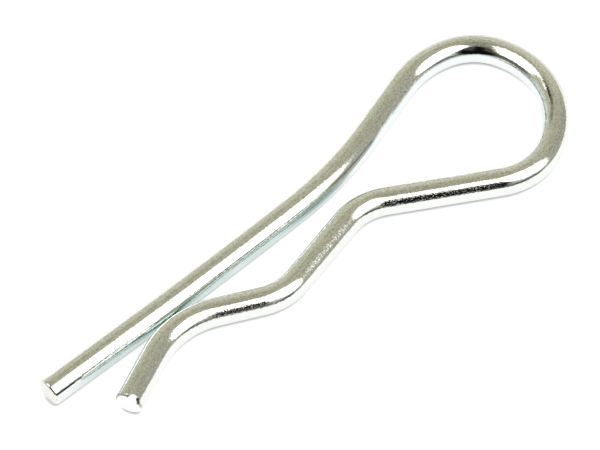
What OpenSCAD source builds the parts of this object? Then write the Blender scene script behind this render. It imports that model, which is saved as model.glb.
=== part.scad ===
// Hitch R clip pin: one length of round spring wire, bent in one plane.
// The straight shank goes through the cross hole of a drilled pin. The wave leg
// snaps over the outside of that pin, which then sits in the pocket. The eye at
// the closed end is a finger loop and the spring.
//
// The origin is the centre of the shank's cut end. +X runs along the shank
// towards the loop, the wave leg lies on the -Y side, and the wire's centreline
// lies in the plane Z = 0. The clip lies flat on its side.

/* [Wire] */
// Diameter of the spring wire
wire_d = 4; // [2:0.5:6]
// Chamfer on both cut ends
end_chamfer = 0.3; // [0.1:0.1:0.6]

/* [Shank] */
// Straight free end of the shank, from the cut end
shank_len = 15; // [12:1:40]
// Inside radius of the long shallow bow behind the free end
bow_in_r = 850; // [700:10:1400]
// Turn of the bow, degrees
bow_turn = 2; // [1.5:0.1:3.5]
// Inside radius of the set bend that leads into the neck
set_in_r = 58; // [40:1:90]
// Turn of the set bend, degrees
set_turn = 16.5; // [14:0.5:22]
// Straight neck between the set bend and the loop
neck_len = 9.5; // [6:0.5:25]

/* [Finger loop] */
// Inside radius of the loop's two wide arcs
loop_in_r = 12; // [9:0.5:15]
// Inside radius of the loop's two corners
corner_in_r = 7; // [5:0.5:12]
// Turn of the first wide arc, degrees
lead_turn = 34; // [20:1:50]
// Turn of the first corner, degrees
corner_turn = 50; // [35:1:70]
// Turn of the second wide arc, degrees
crown_turn = 88; // [70:1:110]

/* [Wave leg] */
// Slope of the return leg from the loop to the throat, degrees
return_slope = 32; // [24:1:45]
// Inside radius of the throat bend
throat_in_r = 6.5; // [4:0.5:12]
// Slope from the throat down into the pocket, degrees
away_slope = 14; // [8:0.5:24]
// Inside radius of the pocket bend
pocket_in_r = 6; // [4:0.5:10]
// Slope from the pocket back up to the grip, degrees
approach_slope = 27.5; // [20:0.5:36]
// Inside radius of the grip bend
grip_in_r = 10; // [5:0.5:14]
// Slope of the flared tip, degrees
flare_slope = 25; // [15:1:40]
// Straight flared tip, to the cut end
tip_len = 9; // [4:0.5:14]

/* [Gaps to the shank] */
// Gap at the throat, between the wire's surfaces
throat_gap = 2; // [1:0.1:4]
// Gap at the pocket, between the wire's surfaces
pocket_gap = 5.4; // [4:0.1:7]
// Running gap at the grip, where the clip closes on itself
grip_gap = 0.1; // [0.1:0.1:2]

/* [Hidden] */
$fn = 64;
HALF_TURN = 180;
QUARTER_TURN = 90;
// A bend draws the wire down by this much on its radius
BEND_DRAW = 0.01;
// Wire of full size reaches this far into the bend at each of its ends
LAP = 0.1;

wire_r = wire_d / 2;

// The wire is a list of steps that are straights and bends in turn, each [straight length,
// centreline radius, turn]. A turn is positive to the left, seen from +Z. Where two bends
// follow each other, a straight of no length stands between them.
function straight(length) = [length, 0, 0];
function bend(inside_r, turn) = [0, inside_r + wire_r, turn];
LAND = straight(0);

// A pose is the wire's [x, y, heading]: at the end of one step, and after a number of steps
function advance(pose, step) =
    let (heading = pose[2], next = heading + step[2], side = sign(step[2]) * step[1])
    [
        pose[0] + step[0] * cos(heading) + side * (sin(next) - sin(heading)),
        pose[1] + step[0] * sin(heading) - side * (cos(next) - cos(heading)),
        next
    ];
function pose_after(steps, count) = count == 0 ? [0, 0, 0]
    : advance(pose_after(steps, count - 1), steps[count - 1]);

// Straight at a slope that moves the wire sideways by an offset, with a bend at each end
function slope_len(offset, slope, inside_r_a, inside_r_b) =
    (offset - (inside_r_a + inside_r_b + wire_d) * (1 - cos(slope))) / sin(slope);

// Shank, neck and loop. The last corner turns what is left before the return leg.
close_turn = HALF_TURN + bow_turn + set_turn + return_slope - lead_turn - corner_turn - crown_turn;
front = [
    straight(shank_len),
    bend(bow_in_r, bow_turn),
    LAND,
    bend(set_in_r, set_turn),
    straight(neck_len),
    bend(loop_in_r, -lead_turn),
    LAND,
    bend(corner_in_r, -corner_turn),
    LAND,
    bend(loop_in_r, -crown_turn),
    LAND,
    bend(corner_in_r, -close_turn)
];

// The return leg runs on until the throat bend stands off the shank by its gap
loop_end = pose_after(front, len(front));
throat_bend_rise = (throat_in_r + wire_r) * (1 - cos(return_slope));
return_rise = -loop_end[1] - wire_d - throat_gap - throat_bend_rise;
wave = [
    straight(return_rise / sin(return_slope)),
    bend(throat_in_r, return_slope + away_slope),
    straight(slope_len(pocket_gap - throat_gap, away_slope, throat_in_r, pocket_in_r)),
    bend(pocket_in_r, -(away_slope + approach_slope)),
    straight(slope_len(pocket_gap - grip_gap, approach_slope, pocket_in_r, grip_in_r)),
    bend(grip_in_r, approach_slope + flare_slope),
    straight(tip_len)
];
wire = concat(front, wave);
last_step = len(wire) - 1;

// Cylinder or cone along +X
module bar(start, end, start_r = wire_r, end_r = wire_r) {
    translate([start, 0, 0])
        rotate([0, QUARTER_TURN, 0])
            cylinder(h = end - start, r1 = start_r, r2 = end_r);
}

// Straight wire along +X, lapped into the bends at its ends or cut off with a chamfer
module rod(length, cut_start, cut_end) {
    start = cut_start ? end_chamfer : -LAP;
    end = cut_end ? length - end_chamfer : length + LAP;
    bar(start, end);
    if (cut_start)
        bar(0, start, wire_r - end_chamfer, wire_r);
    if (cut_end)
        bar(end, length, wire_r, wire_r - end_chamfer);
}

// Bent wire that starts along +X. A right-hand bend is a left-hand one turned over.
module elbow(centre_r, turn) {
    rotate([turn < 0 ? HALF_TURN : 0, 0, 0])
        translate([0, centre_r, 0])
            rotate([0, 0, -QUARTER_TURN])
                rotate_extrude(angle = abs(turn))
                    translate([centre_r, 0])
                        circle(r = wire_r - BEND_DRAW);
}

// Puts a piece that starts along +X where the wire has got to after a number of steps
module after_steps(count) {
    pose = pose_after(wire, count);
    translate([pose[0], pose[1], 0])
        rotate([0, 0, pose[2]])
            children();
}

// The whole clip, from the shank's cut end to the tip's
module clip() {
    color([0.76, 0.77, 0.73])
        union()
            for (i = [0 : last_step])
                after_steps(i)
                    if (wire[i][2] == 0)
                        rod(wire[i][0], i == 0, i == last_step);
                    else
                        elbow(wire[i][1], wire[i][2]);
}

clip();
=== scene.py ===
"""Hitch R clip pin: bright zinc-plated spring wire, lying on a white studio floor.

The wire is worked out in mm and its mesh is made in metres, in the part's own frame: the shank's cut
end is at the origin, +X runs along the shank, and the wave leg lies on the -Y side.
"""

import math
from functools import lru_cache

import bpy
import numpy as np
from mathutils import Matrix, Vector


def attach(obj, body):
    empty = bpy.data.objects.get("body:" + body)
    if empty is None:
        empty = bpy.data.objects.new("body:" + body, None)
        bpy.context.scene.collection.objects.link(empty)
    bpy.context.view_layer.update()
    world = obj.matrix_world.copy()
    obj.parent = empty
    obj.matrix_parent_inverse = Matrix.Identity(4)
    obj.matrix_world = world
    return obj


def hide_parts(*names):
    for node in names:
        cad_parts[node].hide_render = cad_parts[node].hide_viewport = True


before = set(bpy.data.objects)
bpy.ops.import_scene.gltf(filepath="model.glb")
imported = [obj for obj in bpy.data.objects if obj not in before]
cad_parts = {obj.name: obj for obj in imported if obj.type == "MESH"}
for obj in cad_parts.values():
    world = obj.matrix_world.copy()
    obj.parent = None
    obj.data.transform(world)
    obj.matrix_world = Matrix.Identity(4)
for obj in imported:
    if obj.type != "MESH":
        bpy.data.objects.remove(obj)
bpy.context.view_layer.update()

MM = 0.001
HALF_TURN = 180.0

# ---- The wire's sizes, as in the part's source: mm and degrees, with radii on the centreline ----

WIRE_R = 2.0
CHAMFER = 0.3
SHANK_LENGTH = 15.0
BOW_R, BOW_TURN = 852.0, 2.0
SET_R, SET_TURN = 60.0, 16.5
NECK_LENGTH = 9.5
WIDE_ARC_R, CORNER_R = 14.0, 9.0
LEAD_TURN, CORNER_TURN, CROWN_TURN = 34.0, 50.0, 88.0
RETURN_SLOPE, AWAY_SLOPE, APPROACH_SLOPE, FLARE_SLOPE = 32.0, 14.0, 27.5, 25.0
THROAT_R, POCKET_R, GRIP_R = 8.5, 8.0, 12.0
TIP_LENGTH = 9.0
# Gaps between the shank and the bends of the wave leg
THROAT_GAP, POCKET_GAP, GRIP_GAP = 2.0, 5.4, 0.1


def straight(length):
    """A step of the wire: its length and its turn."""
    return length, 0.0


def bend(centre_r, turn):
    """A step of the wire that turns, to the left where the turn is positive."""
    return centre_r * math.radians(abs(turn)), math.radians(turn)


def advance(pose, length, turn):
    """The wire's x, y and heading at the end of a step."""
    x, y, heading = pose
    if turn == 0.0:
        return x + length * math.cos(heading), y + length * math.sin(heading), heading
    after = heading + turn
    radius = length / turn
    return (x + radius * (math.sin(after) - math.sin(heading)),
            y - radius * (math.cos(after) - math.cos(heading)), after)


def slope_length(offset, slope, radii):
    """Length of a straight that moves the wire sideways by an offset, with bends of these radii in all."""
    slope = math.radians(slope)
    return (offset - radii * (1.0 - math.cos(slope))) / math.sin(slope)


def wire_steps():
    """The wire's steps, from the shank's cut end to the tip's."""
    # the last corner turns what is left before the return leg
    close_turn = HALF_TURN + BOW_TURN + SET_TURN + RETURN_SLOPE - LEAD_TURN - CORNER_TURN - CROWN_TURN
    front = [
        straight(SHANK_LENGTH),
        bend(BOW_R, BOW_TURN),
        bend(SET_R, SET_TURN),
        straight(NECK_LENGTH),
        bend(WIDE_ARC_R, -LEAD_TURN),
        bend(CORNER_R, -CORNER_TURN),
        bend(WIDE_ARC_R, -CROWN_TURN),
        bend(CORNER_R, -close_turn),
    ]
    loop_end = (0.0, 0.0, 0.0)
    for step in front:
        loop_end = advance(loop_end, *step)
    # the return leg runs on until the throat bend stands off the shank by its gap
    return_offset = -loop_end[1] - 2 * WIRE_R - THROAT_GAP
    return front + [
        straight(slope_length(return_offset, RETURN_SLOPE, THROAT_R)),
        bend(THROAT_R, RETURN_SLOPE + AWAY_SLOPE),
        straight(slope_length(POCKET_GAP - THROAT_GAP, AWAY_SLOPE, THROAT_R + POCKET_R)),
        bend(POCKET_R, -(AWAY_SLOPE + APPROACH_SLOPE)),
        straight(slope_length(POCKET_GAP - GRIP_GAP, APPROACH_SLOPE, POCKET_R + GRIP_R)),
        bend(GRIP_R, APPROACH_SLOPE + FLARE_SLOPE),
        straight(TIP_LENGTH),
    ]


STEPS = wire_steps()
WIRE_LENGTH = sum(length for length, _ in STEPS)


@lru_cache(maxsize=None)
def place_at(distance):
    """The centreline's x, y and heading at a distance along the wire."""
    pose = (0.0, 0.0, 0.0)
    for length, turn in STEPS:
        part = min(distance / length, 1.0)
        pose = advance(pose, length * part, turn * part)
        distance -= length
        if distance <= 0.0:
            break
    return pose


# ---- The bite that the shear left in the upper edge of the tip, in mm ----

BITE_ANGLE = math.radians(57)       # its place round the wire, up from the left-hand side
BITE_HALF_WIDTH = 0.74
BITE_DEPTH = 0.72
BITE_SLOPE = math.tan(math.radians(25))
BITE_SIDE_POWER = 6                 # the higher, the steeper its sides
BITE_REACH = 1.8                    # the skin is drawn back to the bite over this length
SKIN_START = 0.32                   # from a cut face to where the wire has its full radius


def bite_depth(angle, radius):
    """How far the tip's cut face is set back: it slopes down to the bite, which has steep sides."""
    off = angle - BITE_ANGLE
    aside = radius * math.sin(off) / BITE_HALF_WIDTH
    if math.cos(off) < 0.0 or abs(aside) >= 1.0:
        return 0.0
    depth = BITE_DEPTH - (WIRE_R - radius * math.cos(off)) * BITE_SLOPE
    return max(depth, 0.0) * math.sqrt(1.0 - aside ** BITE_SIDE_POWER)


def drawn_back(left, angle, radius):
    """Distance from the tip's end, once its cut face and its skin are drawn back to the bite."""
    depth = bite_depth(angle, radius)
    if left < SKIN_START:
        return max(left, depth)
    if depth > SKIN_START:
        return depth + (left - SKIN_START) * (BITE_REACH - depth) / (BITE_REACH - SKIN_START)
    return left


# ---- The wire's mesh: rings of points swept along the centreline ----

SEGMENTS = 72
RING_GAP, RING_TURN = 0.35, math.radians(1.6)       # at most this far apart, in mm and in turn
# Rings of a cut face, as shares of its radius
CUT_FACE_RINGS = [0.12, 0.24, 0.36, 0.48, 0.6, 0.72, 0.82, 0.91]
# Rings of the broken edge round a cut face: distance from the cut, and how far in from the full radius
EDGE_RINGS = [(0.0, CHAMFER), (0.10, 0.14), (0.20, 0.045)]
# Closer rings on the skin next to a cut face
END_RINGS, END_RING_GAP, END_RINGS_REACH = 9, 0.12, 1.4
SHARP_ANGLE = math.radians(30)


def sweep_rings():
    """Distance along the wire and radius of each ring, from one cut face to the other."""
    end = [(0.0, (WIRE_R - CHAMFER) * share) for share in CUT_FACE_RINGS]
    end += [(distance, WIRE_R - inset) for distance, inset in EDGE_RINGS]
    end += [(SKIN_START + END_RING_GAP * i, WIRE_R) for i in range(END_RINGS)]
    skin, run = [], 0.0
    for length, turn in STEPS:
        count = max(math.ceil(length / RING_GAP), math.ceil(abs(turn) / RING_TURN))
        skin += [run + length * i / count for i in range(count)]
        run += length
    rings = end + [(d, WIRE_R) for d in skin if END_RINGS_REACH < d < WIRE_LENGTH - END_RINGS_REACH]
    return rings + [(WIRE_LENGTH - distance, radius) for distance, radius in reversed(end)]


def ring_point(distance, radius, angle):
    """A point of the mesh, in metres."""
    left = WIRE_LENGTH - distance
    if left <= BITE_REACH:
        distance = WIRE_LENGTH - drawn_back(left, angle, radius)
    x, y, heading = place_at(distance)
    out, rise = radius * math.cos(angle), radius * math.sin(angle)
    return (x - out * math.sin(heading)) * MM, (y + out * math.cos(heading)) * MM, rise * MM


def wire_points(rings):
    """The rings' points and the middles of both cut faces: in metres, and straightened out in mm."""
    around = [2 * math.pi * k / SEGMENTS for k in range(SEGMENTS)]
    places = [(distance, radius, angle) for distance, radius in rings for angle in around]
    places += [(0.0, 0.0, 0.0), (WIRE_LENGTH, 0.0, 0.0)]
    straightened = [(radius * math.cos(angle), radius * math.sin(angle), distance)
                    for distance, radius, angle in places]
    return [ring_point(*place) for place in places], straightened


def ring_edges(ring):
    """Numbers of each two neighbouring points round a ring."""
    start = ring * SEGMENTS
    return [(start + k, start + (k + 1) % SEGMENTS) for k in range(SEGMENTS)]


def wire_faces(ring_count):
    """Faces from ring to ring, and from the first and the last ring in to the middles."""
    last = ring_count - 1
    middle = ring_count * SEGMENTS
    faces = [(a, b, b + SEGMENTS, a + SEGMENTS) for ring in range(last) for a, b in ring_edges(ring)]
    faces += [(middle, b, a) for a, b in ring_edges(0)]
    return faces + [(middle + 1, a, b) for a, b in ring_edges(last)]


def wire_piece():
    """Sweeps the round wire, with a broken edge and a cut face at both ends."""
    rings = sweep_rings()
    points, straightened = wire_points(rings)
    mesh = bpy.data.meshes.new("clip_wire")
    mesh.from_pydata(points, [], wire_faces(len(rings)))
    mesh.attributes.new("straight_wire", "FLOAT_VECTOR", "POINT").data.foreach_set(
        "vector", np.array(straightened, dtype=np.float32).ravel())
    mesh.polygons.foreach_set("use_smooth", [True] * len(mesh.polygons))
    mesh.update()
    mesh.set_sharp_from_angle(angle=SHARP_ANGLE)
    piece = bpy.data.objects.new("clip_wire", mesh)
    bpy.context.scene.collection.objects.link(piece)
    return piece


class Nodes:
    """Short-hand for building a node tree."""

    def __init__(self, tree):
        self.tree = tree
        tree.nodes.clear()

    def add(self, kind, **inputs):
        node = self.tree.nodes.new(kind)
        for key, value in inputs.items():
            self.put(node, key, value)
        return node

    def put(self, node, key, value):
        """Sets a property, an input by its name, or an input by its number where the key is _number."""
        if hasattr(node, key) and not key[0].isupper():
            setattr(node, key, value)
            return
        socket = node.inputs[int(key[1:])] if key[0] == "_" else node.inputs[key]
        if isinstance(value, bpy.types.NodeSocket):
            self.tree.links.new(value, socket)
        else:
            socket.default_value = value

    def math(self, operation, *values, clamp=False):
        node = self.add("ShaderNodeMath", operation=operation, use_clamp=clamp)
        for i, value in enumerate(values):
            self.put(node, f"_{i}", value)
        return node.outputs[0]

    def times(self, first, *others):
        for other in others:
            first = self.math("MULTIPLY", first, other)
        return first

    def plus(self, a, b, clamp=False):
        return self.math("ADD", a, b, clamp=clamp)

    def minus(self, a, b):
        return self.math("SUBTRACT", a, b)

    def length(self, a, b):
        """Length of the vector that has the parts a and b."""
        return self.math("SQRT", self.plus(self.times(a, a), self.times(b, b)))

    def vector_math(self, operation, a, b):
        return self.add("ShaderNodeVectorMath", operation=operation, _0=a, _1=b).outputs["Value"]

    def ramp(self, value, low, high, to_low=0.0, to_high=1.0):
        """Smooth step from to_low, where the value is low, to to_high, where it is high."""
        node = self.add("ShaderNodeMapRange", interpolation_type="SMOOTHSTEP", Value=value)
        for key, limit in zip(("From Min", "From Max", "To Min", "To Max"), (low, high, to_low, to_high)):
            self.put(node, key, limit)
        return node.outputs["Result"]

    def mix(self, factor, a, b):
        """Colour a where the factor is 0, and b where it is 1."""
        return self.add("ShaderNodeMix", data_type="RGBA", _0=factor, _6=a, _7=b).outputs[2]

    def band(self, value, start, full, fade, end):
        """1 where the value is from full to fade, falling to 0 at start and at end."""
        return self.times(self.ramp(value, start, full), self.ramp(value, end, fade))

    def show(self, output, shader):
        """Makes a shader the surface of the material or the world."""
        self.add(output, Surface=shader.outputs[0])


# ---- The camera ----

# Where it stands round the part and above it, and how it is rolled, in degrees
AZIMUTH, ELEVATION, ROLL = -125.021, 52.900, -7.021
# The part's origin as the camera sees it, in mm
ORIGIN_RIGHT, ORIGIN_DOWN, ORIGIN_AWAY = -34.5671, 23.1055, 621.40
FOCAL_PX, PHOTO_WIDTH_PX = 4531.05, 600
SENSOR_WIDTH = 36.0
CLIP_START, CLIP_END = 0.01, 50.0           # metres


def camera_axes():
    """The camera's right, up and backward directions."""
    az, el, roll = (math.radians(v) for v in (AZIMUTH, ELEVATION, ROLL))
    back = Vector((math.cos(el) * math.cos(az), math.cos(el) * math.sin(az), math.sin(el)))
    level = (-back).cross(Vector((0, 0, 1))).normalized()
    upright = level.cross(-back)
    right = math.cos(roll) * level + math.sin(roll) * upright
    up = -math.sin(roll) * level + math.cos(roll) * upright
    return right, up, back


def add_camera():
    """Puts a camera with a long lens where the photograph was taken from."""
    right, up, back = camera_axes()
    place = -(right * ORIGIN_RIGHT - up * ORIGIN_DOWN - back * ORIGIN_AWAY) * MM
    turn = Matrix((right, up, back)).transposed().to_4x4()
    data = bpy.data.cameras.new("camera")
    data.type = "PERSP"
    data.sensor_width = SENSOR_WIDTH
    data.lens = FOCAL_PX / PHOTO_WIDTH_PX * SENSOR_WIDTH
    data.clip_start, data.clip_end = CLIP_START, CLIP_END
    camera = bpy.data.objects.new("camera", data)
    camera.matrix_world = Matrix.Translation(place) @ turn
    bpy.context.scene.collection.objects.link(camera)
    bpy.context.scene.camera = camera


# ---- The studio. Its sky chart gives degrees to the right of and above the room's dark end. ----

KHAKI, PALE, TEAL = (0.505, 0.505, 0.392, 1), (0.68, 0.68, 0.58, 1), (0.70, 0.80, 0.80, 1)
BLACK, SOFT_BOX = (0.004, 0.005, 0.006, 1), (2.2, 2.2, 2.15, 1)
CEILING_START, CEILING_FULL = 62, 115       # heights on the chart
TEAL_START, TEAL_FULL = -58, -94            # to the left on the chart
# Soft ovals, each over the last: middle, lean, half length and half width, softness, colour.
# A lean turns the long axis up from the right, and a softness is a share of the oval's size.
WALL_OVALS = [
    ((58, 55), 0, (40, 22), 0.8, (0.40, 0.385, 0.34, 1)),
    ((4, 73), 0, (18, 6), 0.8, (0.46, 0.445, 0.35, 1)),
    ((72, 16), 0, (22, 26), 0.6, (0.42, 0.43, 0.375, 1)),
    ((-42, 74), 0, (14, 4), 0.6, (0.26, 0.255, 0.21, 1)),
]
DARK_END_OVALS = [
    ((-15, 20), 90, (45, 16), 0.5, (0.30, 0.30, 0.25, 1)),
    ((-64, -3), 0, (21, 22), 0.6, (0.13, 0.14, 0.125, 1)),
    ((-13, -27), 0, (40, 35), 0.3, BLACK),
    ((-27, 4), 65, (17, 9), 0.6, (0.10, 0.078, 0.055, 1)),
    ((-14, -3), 90, (19, 10), 0.3, BLACK),
    ((-4, -4), 90, (14, 6), 0.7, (0.085, 0.08, 0.07, 1)),
    ((-32, 67), 20, (13, 3.8), 0.5, BLACK),
    ((-43, 58.5), 27, (8, 1.5), 0.3, SOFT_BOX),
]
# Pale sweep below this line, along the left-hand horizon: its ends, its softness and its colour
SWEEP_LINE, SWEEP_SOFT, SWEEP_COLOUR = ((-27, -51), (-88, -8)), 2.5, (0.90, 0.92, 0.90, 1)
# Light spilled under the right-hand box: a band from left to right, a top edge from none to full, and
# the line under which it is bright
SPILL_BAND, SPILL_TOP = (12, 32, 58, 74), (-2, -10)
SPILL_LINE, SPILL_SOFT = ((62, -9), (15, -36)), 10
SPILL_DIM, SPILL_BRIGHT = (0.10, 0.105, 0.095, 1), (0.74, 0.75, 0.72, 1)
# Corners of the two soft boxes, clockwise
LEFT_BOX = [(-43, 0), (-55, 5), (-65, 16), (-66, 25), (-40, 54), (-30, 62.5), (-20, 65), (-18.5, 53),
            (-20, 43), (-39, 4)]
RIGHT_BOX = [(1.5, 6), (-4, 12), (-3, 24), (7, 44), (23, 43), (46.5, 28.5), (60, 14), (64, 4), (56, -9),
             (38, -14), (17, -10.5)]
BOX_EDGE_SOFT = 1.6
LEAST_SPREAD = 0.0001           # keeps a division by nothing out of the chart's middle


class SkyChart:
    """Masks over the sky, in degrees to the right (x) and up (y) from where the camera stands."""

    def __init__(self, nodes):
        self.nodes = nodes
        direction = nodes.add("ShaderNodeTexCoord").outputs["Generated"]
        right, up, back = (nodes.vector_math("DOT_PRODUCT", direction, tuple(axis)) for axis in camera_axes())
        away = nodes.times(nodes.math("ARCCOSINE", back), math.degrees(1))
        spread = nodes.math("MAXIMUM", nodes.length(right, up), LEAST_SPREAD)
        self.x = nodes.times(nodes.math("DIVIDE", right, spread), away)
        self.y = nodes.times(nodes.math("DIVIDE", up, spread), away)

    def oval(self, middle, lean, size, soft):
        """1 inside a soft oval, 0 outside."""
        nodes = self.nodes
        cos, sin = math.cos(math.radians(lean)), math.sin(math.radians(lean))
        dx, dy = nodes.minus(self.x, middle[0]), nodes.minus(self.y, middle[1])
        along_axis = nodes.plus(nodes.times(dx, cos / size[0]), nodes.times(dy, sin / size[0]))
        off_axis = nodes.plus(nodes.times(dx, -sin / size[1]), nodes.times(dy, cos / size[1]))
        return nodes.ramp(nodes.length(along_axis, off_axis), 1.0 - soft, 1.0 + soft, 1.0, 0.0)

    def right_of(self, start, end, soft):
        """1 to the right of the line from start to end, 0 to its left."""
        nodes = self.nodes
        run, rise = end[0] - start[0], end[1] - start[1]
        length = math.hypot(run, rise)
        offset = (start[0] * rise - start[1] * run) / length
        value = nodes.plus(nodes.times(self.x, rise / length), nodes.times(self.y, -run / length))
        return nodes.ramp(nodes.minus(value, offset), -soft, soft)

    def inside(self, corners):
        """1 inside a convex shape, 0 outside."""
        edges = zip(corners, corners[1:] + corners[:1])
        return self.nodes.times(*(self.right_of(a, b, BOX_EDGE_SOFT) for a, b in edges))


def add_world():
    """Two soft boxes, warm grey walls, and the dark end of the room behind the camera."""
    world = bpy.data.worlds.new("studio")
    world.use_nodes = True
    bpy.context.scene.world = world
    nodes = Nodes(world.node_tree)
    chart = SkyChart(nodes)
    colour = nodes.mix(nodes.ramp(chart.y, CEILING_START, CEILING_FULL), KHAKI, PALE)
    for middle, lean, size, soft, shade in WALL_OVALS:
        colour = nodes.mix(chart.oval(middle, lean, size, soft), colour, shade)
    colour = nodes.mix(nodes.ramp(chart.x, TEAL_START, TEAL_FULL), colour, TEAL)
    for middle, lean, size, soft, shade in DARK_END_OVALS:
        colour = nodes.mix(chart.oval(middle, lean, size, soft), colour, shade)
    colour = nodes.mix(chart.right_of(*SWEEP_LINE, SWEEP_SOFT), SWEEP_COLOUR, colour)
    spill = nodes.times(nodes.band(chart.x, *SPILL_BAND), nodes.ramp(chart.y, *SPILL_TOP))
    spilled = nodes.mix(chart.right_of(*SPILL_LINE, SPILL_SOFT), SPILL_DIM, SPILL_BRIGHT)
    colour = nodes.mix(spill, colour, spilled)
    for corners in LEFT_BOX, RIGHT_BOX:
        colour = nodes.mix(chart.inside(corners), colour, SOFT_BOX)
    nodes.show("ShaderNodeOutputWorld", nodes.add("ShaderNodeBackground", Color=colour, Strength=1.0))


# ---- The floor ----

FLOOR_SIZE = 6.0                            # metres, as is its place
FLOOR_PLACE = (0.04, 0.0, -WIRE_R * MM)
FLOOR_PAPER = (0.36, 0.363, 0.37, 1)
FLOOR_GLOW = 0.82                           # brings the paper to white, seen or in a reflection
CONTACT_SHADE_REACH, CONTACT_SHADE_SAMPLES = 0.5 * MM, 8


def add_floor():
    """White paper, lightly shaded where the wire touches it."""
    bpy.ops.mesh.primitive_plane_add(size=FLOOR_SIZE, location=FLOOR_PLACE)
    floor = bpy.context.object
    floor.name = "floor"
    material = bpy.data.materials.new("floor_white")
    material.use_nodes = True
    nodes = Nodes(material.node_tree)
    paper = nodes.add("ShaderNodeBsdfDiffuse", Color=FLOOR_PAPER)
    path = nodes.add("ShaderNodeLightPath").outputs
    seen = nodes.plus(path["Is Camera Ray"], path["Is Glossy Ray"], clamp=True)
    open_sky = nodes.add("ShaderNodeAmbientOcclusion", samples=CONTACT_SHADE_SAMPLES,
                         Distance=CONTACT_SHADE_REACH)
    glow = nodes.add("ShaderNodeEmission", Strength=nodes.times(seen, FLOOR_GLOW, open_sky.outputs["AO"]))
    both = nodes.add("ShaderNodeAddShader", _0=paper.outputs[0], _1=glow.outputs[0])
    nodes.show("ShaderNodeOutputMaterial", both)
    floor.data.materials.append(material)


# ---- The zinc plate. Its places are on the wire as if it were straight, in mm: offsets to the left,
# heights above the centreline, and lengths along the wire from the shank's cut end. A pair goes from
# none to full, and four values are a band: none, full, full, none. ----

# Noise: its scale round the wire, its share of that along the wire, its detail and its roughness
LINES = (3.0, 0.03, 2.0, 0.5)
GRAIN = (5.4, 0.55, 1.0, 0.5)
SPECKS = (5.2, 0.6, 2.0, 0.6)
CLOUDS = (0.35, 0.6, 2.0, 0.5)
PITS = (5.0, 0.7, 1.0, 0.6)

# Dull and bright specks, and warm clouds over them
DULL_PLATE, BRIGHT_PLATE, SPECKS_SPREAD = (0.67, 0.66, 0.59, 1), (0.94, 0.955, 0.91, 1), (0.35, 0.65)
WARM_CLOUD, CLOUDS_SPREAD, CLOUDS_SHARE = (0.82, 0.76, 0.68, 1), (0.45, 0.7), 0.25

# Blue passivate tint, laid on the sides of the wire where teal and pale reflections fall, so partly painted
# reflection; and the skin between the two cuts
RIGHT_HALF, UNDER_TOP = (0.0, -0.2), (1.25, 0.9)
SKIN = (0.2, 0.6, WIRE_LENGTH - 0.6, WIRE_LENGTH - 0.2)
PAINTED_PALE_SIDE, PASSIVATE_BLUE_AND_REFLECTION = (0.85, 0.865, 0.845, 1), (0.83, 0.875, 0.87, 1)
PATCHES_SPREAD, PATCHES_LEAST = (0.3, 0.6), 0.65
SHANK_TEAL_REFLECTION, SHANK_TEAL_REFLECTION_STRETCH = (0.61, 0.71, 0.685, 1), (0, 8, 49, 56)
LATE_HEIGHT, LATE_START = (0.6, 0.9), (27, 10)
LOOP_TEAL_REFLECTION, LOOP_TEAL_REFLECTION_STRETCH = (0.70, 0.79, 0.78, 1), (96, 105, 108, 115)
DEEP_TEAL_REFLECTION, DEEP_TEAL_REFLECTION_STRETCH = (0.37, 0.46, 0.44, 1), (37, 48, 51, 56)
DEEP_TEAL_REFLECTION_HEIGHT = (-0.4, 0.1, 0.7, 0.85)

# A darker band painted as a dark reflection along the set bend, beside the end of the streak. Its lower edge
# climbs along the wire.
PAINTED_DARK_BAND, DARK_BAND_STRETCH = (0.37, 0.395, 0.38, 1), (49, 54, 59.5, 63)
DARK_BAND_FOOT, DARK_BAND_CLIMB, DARK_BAND_TOP = (-2.4, -2.2), 0.05, (1.25, 1.05)
# A yellow-khaki reflection painted on the outside of the loop
PAINTED_YELLOW_REFLECTION, YELLOW_STRETCH, YELLOW_OFFSET = (0.58, 0.557, 0.465, 1), (70, 78, 92, 104), (0.8, 1.3)
# A near-black line painted as a dark reflection from the shank's end
PAINTED_DARK_LINE, DARK_LINE_STRETCH = (0.03, 0.03, 0.03, 1), (0.2, 0.4, 3.4, 3.9)
DARK_LINE_HEIGHT, DARK_LINE_WIDTH = 1.02, (0.13, 0.06)


def tip_point(angle, radius, from_cut):
    """A place on the straight wire, at a distance from the tip's cut."""
    return radius * math.cos(angle), radius * math.sin(angle), WIRE_LENGTH - from_cut


# The tip's shear, in distances from its cut: the cut brightened to near-white as a painted highlight, with a
# rougher edge whose upper side is darkened as painted shade
PAINTED_WHITE_CUT, CUT_REACH, CUT_SHARE = (0.99, 0.985, 0.97, 1), (0.12, 0.04), 0.85
SHADED_EDGE, EDGE_REACH, EDGE_SHARE = (0.40, 0.39, 0.36, 1), (0.34, 0.28), 0.7
EDGE_RADIUS, EDGE_HEIGHT = (1.70, 1.74), (-0.2, 0.3)
# A painted white highlight inside the bite, and rust at the bite's right-hand end
BITE_HIGHLIGHT, BITE_HIGHLIGHT_REACH = (0.97, 0.97, 0.95, 1), (0.31, 0.24)
BITE_HIGHLIGHT_PLACE, BITE_HIGHLIGHT_RADIUS = tip_point(BITE_ANGLE, WIRE_R, 0.1), (1.0, 0.9)
RUST, RUST_RADIUS = (0.10, 0.055, 0.03, 1), (0.46, 0.28)
RUST_PLACE = tip_point(math.radians(37), 1.8, 0.05)
RUST_SPREAD, RUST_LEAST = (0.3, 0.5), 0.75
BITE_HIGHLIGHT_ROUGH, RUST_ROUGH, EDGE_ROUGH = 0.15, 0.5, 0.4

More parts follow.
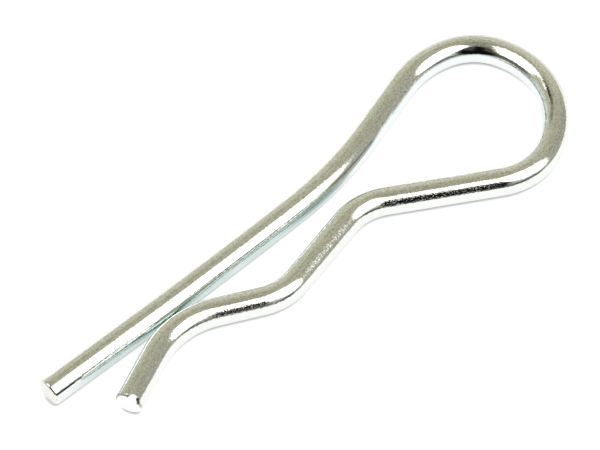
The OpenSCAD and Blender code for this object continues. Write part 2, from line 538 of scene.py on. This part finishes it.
# Pits on the left-hand side of the return leg and of the straight before the grip, and fewer between
PITTED_OFFSET, PITTED_HEIGHT = (0.0, 0.3), (0.85, 1.0, 1.5, 1.72)
PITTED_STRETCHES = [(116, 122, 134, 138), (156, 159, 168, 172)]
FEWER_PITS_HEIGHT, FEWER_PITS_STRETCH, FEWER_PITS_SHARE = (1.35, 1.5, 1.8, 1.92), (139, 142, 151, 154), 0.6
PITS_SPREAD, PITS_ROUGH = (0.54, 0.66), 0.30
GRAIN_SPREAD, GRAIN_ROUGH = (0.3, 0.7), (0.06, 0.13)
LINES_HEIGHT = 0.3                          # as a share of the grain's
BUMP_STRENGTH, BUMP_HEIGHT = (0.38, 1.0), 0.02 * MM


class StraightWire:
    """The wire as if it were straight: mm to the left, up and along it, and the noise in its plate."""

    def __init__(self, nodes):
        self.nodes = nodes
        self.place = nodes.add("ShaderNodeAttribute", attribute_name="straight_wire").outputs["Vector"]
        self.left, self.rise, self.along = nodes.add("ShaderNodeSeparateXYZ", Vector=self.place).outputs
        self.from_cut = nodes.minus(WIRE_LENGTH, self.along)
        self.right_half = nodes.ramp(self.left, *RIGHT_HALF)
        self.specks, self.clouds = self.noise(*SPECKS), self.noise(*CLOUDS)

    def noise(self, scale, along_share, detail, roughness):
        """Noise that is drawn out along the wire."""
        drawn = self.nodes.add("ShaderNodeMapping", Vector=self.place, Scale=(1.0, 1.0, along_share))
        return self.nodes.add("ShaderNodeTexNoise", Vector=drawn.outputs[0], Scale=scale, Detail=detail,
                              Roughness=roughness).outputs[0]


def bare_plate(nodes, wire):
    """Colour of the plate on its own."""
    colour = nodes.mix(nodes.ramp(wire.specks, *SPECKS_SPREAD), DULL_PLATE, BRIGHT_PLATE)
    return nodes.mix(nodes.ramp(wire.clouds, *CLOUDS_SPREAD, 0.0, CLOUDS_SHARE), colour, WARM_CLOUD)


def passivate_and_painted_reflections(nodes, wire):
    """Blue passivate tint on the right-hand side, partly painted reflection: teal along the shank and the
    loop, deepest on the set bend, and paler below the top.
    """
    under_top = nodes.ramp(wire.rise, *UNDER_TOP)
    side = nodes.times(under_top, wire.right_half)
    skin = nodes.band(wire.along, *SKIN)
    patchy = nodes.times(side, nodes.ramp(wire.clouds, *PATCHES_SPREAD, PATCHES_LEAST, 1.0))
    # the shank's painted teal reflection starts later on its upper side
    late = nodes.times(nodes.ramp(wire.rise, *LATE_HEIGHT), nodes.ramp(wire.along, *LATE_START))
    shank = nodes.times(patchy, nodes.minus(1.0, late))
    deep = nodes.times(side, nodes.band(wire.rise, *DEEP_TEAL_REFLECTION_HEIGHT))
    # painted reflections over the plate: paler below the top, blue and teal on the right-hand side
    return [
        (under_top, skin, PAINTED_PALE_SIDE),
        (side, skin, PASSIVATE_BLUE_AND_REFLECTION),
        (shank, nodes.band(wire.along, *SHANK_TEAL_REFLECTION_STRETCH), SHANK_TEAL_REFLECTION),
        (patchy, nodes.band(wire.along, *LOOP_TEAL_REFLECTION_STRETCH), LOOP_TEAL_REFLECTION),
        (deep, nodes.band(wire.along, *DEEP_TEAL_REFLECTION_STRETCH), DEEP_TEAL_REFLECTION),
    ]


def painted_reflection_tints(nodes, wire):
    """Painted reflections: the dark band, the yellow-khaki band on the outside of the loop, and the dark line
    by the shank's end.
    """
    # a darker band on the set bend's right-hand side: painted dark reflection
    over_foot = nodes.ramp(nodes.minus(wire.rise, nodes.times(wire.along, DARK_BAND_CLIMB)), *DARK_BAND_FOOT)
    dark = nodes.times(over_foot, nodes.ramp(wire.rise, *DARK_BAND_TOP), wire.right_half)
    # near-black line by the shank's end: painted dark reflection
    off_dark_line = nodes.math("ABSOLUTE", nodes.minus(wire.rise, DARK_LINE_HEIGHT))
    dark_line = nodes.times(nodes.ramp(off_dark_line, *DARK_LINE_WIDTH), wire.right_half)
    return [
        (dark, nodes.band(wire.along, *DARK_BAND_STRETCH), PAINTED_DARK_BAND),
        # painted yellow-khaki reflection on the outside of the loop
        (nodes.ramp(wire.left, *YELLOW_OFFSET), nodes.band(wire.along, *YELLOW_STRETCH), PAINTED_YELLOW_REFLECTION),
        (dark_line, nodes.band(wire.along, *DARK_LINE_STRETCH), PAINTED_DARK_LINE),
    ]


def shear_masks(nodes, wire):
    """The rougher edge of the tip's cut, darkened on its upper side as painted shade, the painted white
    highlight in its bite, and the rust beside the bite.
    """
    # the cut's rougher edge, its upper side darkened as painted shade
    edge = nodes.times(nodes.ramp(wire.from_cut, *EDGE_REACH),
                       nodes.ramp(nodes.length(wire.left, wire.rise), *EDGE_RADIUS),
                       nodes.ramp(wire.rise, *EDGE_HEIGHT))
    # white inside the bite: painted highlight
    bite_highlight = nodes.times(nodes.ramp(nodes.vector_math("DISTANCE", wire.place, BITE_HIGHLIGHT_PLACE), *BITE_HIGHLIGHT_RADIUS),
                        nodes.ramp(wire.from_cut, *BITE_HIGHLIGHT_REACH))
    rust = nodes.times(nodes.ramp(nodes.vector_math("DISTANCE", wire.place, RUST_PLACE), *RUST_RADIUS),
                       nodes.ramp(wire.specks, *RUST_SPREAD, RUST_LEAST, 1.0))
    return edge, bite_highlight, rust


def pitted_mask(nodes, wire):
    """How densely the plate is pitted."""
    first, second = (nodes.band(wire.along, *stretch) for stretch in PITTED_STRETCHES)
    dense = nodes.times(nodes.band(wire.rise, *PITTED_HEIGHT), nodes.ramp(wire.left, *PITTED_OFFSET),
                        nodes.plus(first, second))
    fewer = nodes.times(nodes.band(wire.along, *FEWER_PITS_STRETCH), FEWER_PITS_SHARE,
                        nodes.band(wire.rise, *FEWER_PITS_HEIGHT))
    return nodes.plus(dense, fewer, clamp=True)


def zinc():
    """Bright zinc plate on drawn wire: fine grain, faint lines along the wire."""
    material = bpy.data.materials.new("zinc_plate")
    material.use_nodes = True
    nodes = Nodes(material.node_tree)
    wire = StraightWire(nodes)
    edge, bite_highlight, rust = shear_masks(nodes, wire)
    # the plate's colour, with painted reflections, painted highlights on the tip's cut and bite, and painted
    # shade on the cut's upper edge
    tints = passivate_and_painted_reflections(nodes, wire) + painted_reflection_tints(nodes, wire) + [
        # the tip's cut brightened to near-white: painted highlight
        (nodes.ramp(wire.from_cut, *CUT_REACH), CUT_SHARE, PAINTED_WHITE_CUT),
        # painted shade on the upper side of the cut's edge
        (edge, EDGE_SHARE, SHADED_EDGE),
        (bite_highlight, 1.0, BITE_HIGHLIGHT),
        (rust, 1.0, RUST),
    ]
    colour = bare_plate(nodes, wire)
    for where, amount, shade in tints:
        colour = nodes.mix(nodes.times(where, amount), colour, shade)

    grain, pitted = wire.noise(*GRAIN), pitted_mask(nodes, wire)
    pits = nodes.times(pitted, PITS_ROUGH, nodes.ramp(wire.noise(*PITS), *PITS_SPREAD))
    rough = nodes.plus(nodes.ramp(grain, *GRAIN_SPREAD, *GRAIN_ROUGH), pits)
    for where, matt in (bite_highlight, BITE_HIGHLIGHT_ROUGH), (rust, RUST_ROUGH), (edge, EDGE_ROUGH):
        rough = nodes.math("MAXIMUM", rough, nodes.times(where, matt))

    height = nodes.plus(nodes.times(wire.noise(*LINES), LINES_HEIGHT), grain)
    bump = nodes.add("ShaderNodeBump", Height=height, Distance=BUMP_HEIGHT,
                     Strength=nodes.ramp(pitted, 0.0, 1.0, *BUMP_STRENGTH))
    shader = nodes.add("ShaderNodeBsdfPrincipled", Roughness=rough, Metallic=nodes.minus(1.0, rust),
                       Normal=bump.outputs[0])
    nodes.put(shader, "Base Color", colour)
    nodes.show("ShaderNodeOutputMaterial", shader)
    return material


clip = wire_piece()
clip.data.materials.append(zinc())
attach(clip, "root")
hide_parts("clip")

add_camera()
add_world()
add_floor()
bpy.context.scene.view_settings.view_transform = "Standard"
